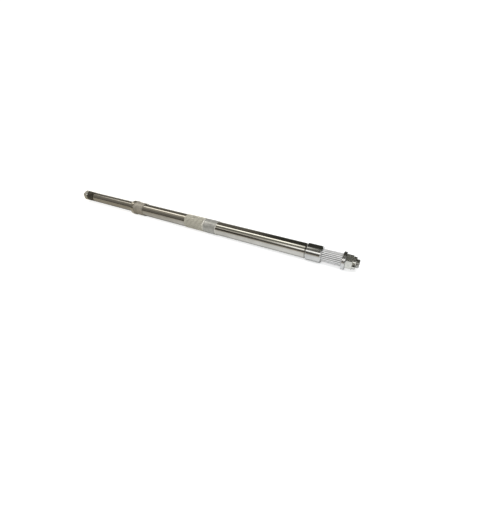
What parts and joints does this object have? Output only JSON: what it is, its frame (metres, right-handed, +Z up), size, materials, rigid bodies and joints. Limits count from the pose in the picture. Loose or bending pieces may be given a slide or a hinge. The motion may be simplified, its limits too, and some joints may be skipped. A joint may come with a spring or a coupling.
{
  "type": "all-terrain vehicle axle",
  "caption": "Solid rear axle bar for a quad bike, with a drive spline, bearing seats, splined hub ends, slip-on sleeves and slotted hub nuts.",
  "frame": {"origin": "middle of the axle's length, on its own axis", "axes": "+Y along the axle towards its left end, the axis it spins about; +Z up; +X ahead of the vehicle"},
  "size_m": [0.0406, 0.913, 0.0406],
  "materials": {
    "bar": "hard chrome on ground steel, bright",
    "spacer": "hard chrome, bright",
    "sleeve": "ground steel, matt",
    "washer": "zinc plated, satin",
    "nut": "zinc plated, satin"
  },
  "bodies": {
    "root": {"axle_shaft": "bar", "right_hub_spacer": "spacer", "left_bearing_sleeve": "sleeve", "right_hub_washer": "washer", "right_castle_nut": "nut", "left_castle_nut": "nut"}
  },
  "joints": []
}
